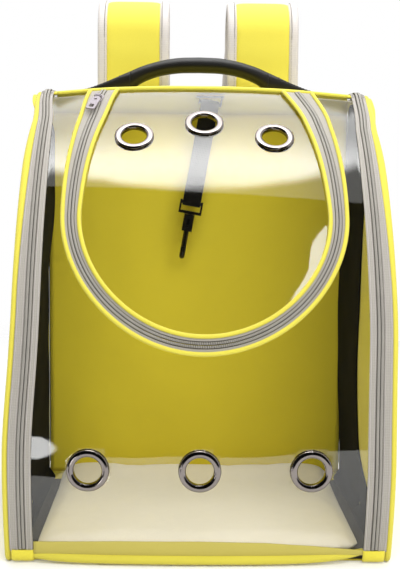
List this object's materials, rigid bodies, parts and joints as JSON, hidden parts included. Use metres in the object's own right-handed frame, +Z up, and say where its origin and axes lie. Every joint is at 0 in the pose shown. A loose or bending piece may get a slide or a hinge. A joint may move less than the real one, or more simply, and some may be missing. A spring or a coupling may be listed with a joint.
{
  "type": "pet backpack carrier",
  "caption": "Clear-fronted pet backpack: bowed clear sheet with a zipped round door, ring eyelets, mesh-sided fabric shell, carry handle, leash hook and padded shoulder straps.",
  "frame": {"origin": "centre of the base panel's resting face", "axes": "+Z up from the base to the straps, +X to the right seen from the clear front, -Y to the front"},
  "size_m": [0.34, 0.359, 0.5362],
  "materials": {
    "yellow_fabric": "woven",
    "yellow_piping": "smooth woven tape",
    "stiffener": "board",
    "air_mesh_pad": "air mesh",
    "black_mesh": "open mesh",
    "clear_sheet": "clear",
    "nickel": "polished",
    "zip_tape": "woven tape",
    "zip_coil": "nylon",
    "slider_metal": "satin",
    "handle_skin": "satin",
    "black_webbing": "webbing",
    "hook_black": "satin",
    "strap_yellow": "woven",
    "strap_binding": "woven tape",
    "grey_webbing": "webbing",
    "buckle_plastic": "moulded",
    "mat_plush": "plush"
  },
  "bodies": {
    "bag": {"base_panel": "yellow_fabric", "base_band": "yellow_fabric", "back_panel": "yellow_fabric", "back_lining": "yellow_fabric", "top_panel": "yellow_fabric", "zip_end_tabs": "yellow_fabric", "side_panel_left": "yellow_fabric", "side_panel_right": "yellow_fabric", "base_piping": "yellow_piping", "top_piping": "yellow_piping", "side_piping_left": "yellow_piping", "side_piping_right": "yellow_piping", "door_piping_outer": "yellow_piping", "base_board": "stiffener", "back_board": "stiffener", "back_pad": "air_mesh_pad", "side_mesh_left": "black_mesh", "side_mesh_right": "black_mesh", "front_sheet": "clear_sheet", "lower_eyelets": "nickel", "lower_washers": "nickel", "side_tapes_left": "zip_tape", "side_tapes_right": "zip_tape", "door_tape_outer": "zip_tape", "side_coils_left": "zip_coil", "side_coils_right": "zip_coil", "door_coil_outer": "zip_coil", "handle_anchors": "handle_skin", "leash_anchor": "black_webbing", "strap_pad_left": "strap_yellow", "strap_pad_right": "strap_yellow", "strap_binding_left": "strap_binding", "strap_binding_right": "strap_binding", "strap_loop_left": "grey_webbing", "strap_loop_right": "grey_webbing", "strap_webbing_left": "grey_webbing", "strap_webbing_right": "grey_webbing", "strap_anchors": "grey_webbing", "ladder_lock_left": "buckle_plastic", "ladder_lock_right": "buckle_plastic"},
    "door": {"door_sheet": "clear_sheet", "door_tape_inner": "zip_tape", "door_coil_inner": "zip_coil", "door_piping_inner": "yellow_piping", "upper_eyelets": "nickel", "upper_washers": "nickel"},
    "door_slider": {"door_slider": "slider_metal"},
    "door_pull": {"door_pull": "slider_metal"},
    "side_slider_left": {"side_slider_left": "slider_metal"},
    "side_slider_right": {"side_slider_right": "slider_metal"},
    "side_pull_left": {"side_pull_left": "slider_metal"},
    "side_pull_right": {"side_pull_right": "slider_metal"},
    "handle": {"handle_grip": "handle_skin"},
    "leash": {"leash_strap": "black_webbing", "hook_swivel": "hook_black"},
    "hook": {"hook_body": "hook_black"},
    "hook_bolt": {"hook_bolt": "hook_black"},
    "mat": {"floor_mat": "mat_plush"}
  },
  "joints": [
    {"name": "door_hinge", "type": "hinge", "parent": "bag", "child": "door", "pos_m": [0, 0.03932, 0.42598], "axis": [-1, 0, 0], "range_deg": [0, 110]},
    {"name": "door_slider_run", "type": "hinge", "parent": "door", "child": "door_slider", "pos_m": [0.05227, 0.14872, 0.14928], "axis": [0.8523, -0.4408, 0.2817], "range_deg": [0, 15.79]},
    {"name": "door_pull_swing", "type": "hinge", "parent": "door_slider", "child": "door_pull", "pos_m": [-0.10112, 0.01845, 0.42138], "axis": [-0.9699, 0.204, 0.1329], "range_deg": [0, 100]},
    {"name": "handle_swing", "type": "hinge", "parent": "bag", "child": "handle", "pos_m": [0, 0.092, 0.436], "axis": [1, 0, 0], "range_deg": [-50, 50], "stiffness_Nm_per_rad": 0.06},
    {"name": "leash_swing", "type": "hinge", "parent": "bag", "child": "leash", "pos_m": [0.012, 0.101, 0.4201], "axis": [0.9848, 0, -0.1736], "range_deg": [-50, 0]},
    {"name": "hook_swivel_turn", "type": "hinge", "parent": "leash", "child": "hook", "pos_m": [0.012, 0.101, 0.4201], "axis": [0.1736, 0, 0.9848], "continuous": true},
    {"name": "hook_bolt_slide", "type": "slide", "parent": "hook", "child": "hook_bolt", "axis": [0.1736, 0, 0.9848], "range_m": [0, 0.009], "stiffness_N_per_m": 150, "springref_m": -0.004},
    {"name": "mat_lift", "type": "slide", "parent": "bag", "child": "mat", "axis": [0, 0, -1], "range_m": [-0.1, 0]},
    {"name": "side_slider_left_run", "type": "slide", "parent": "bag", "child": "side_slider_left", "axis": [0, 0, 1], "range_m": [0, 0.04]},
    {"name": "side_pull_left_swing", "type": "hinge", "parent": "side_slider_left", "child": "side_pull_left", "pos_m": [-0.154, 0.138, 0.3508], "axis": [1, 0, 0], "range_deg": [0, 150]},
    {"name": "side_slider_right_run", "type": "slide", "parent": "bag", "child": "side_slider_right", "axis": [0, 0, 1], "range_m": [0, 0.04]},
    {"name": "side_pull_right_swing", "type": "hinge", "parent": "side_slider_right", "child": "side_pull_right", "pos_m": [0.154, 0.138, 0.3508], "axis": [1, 0, 0], "range_deg": [0, 150]}
  ]
}
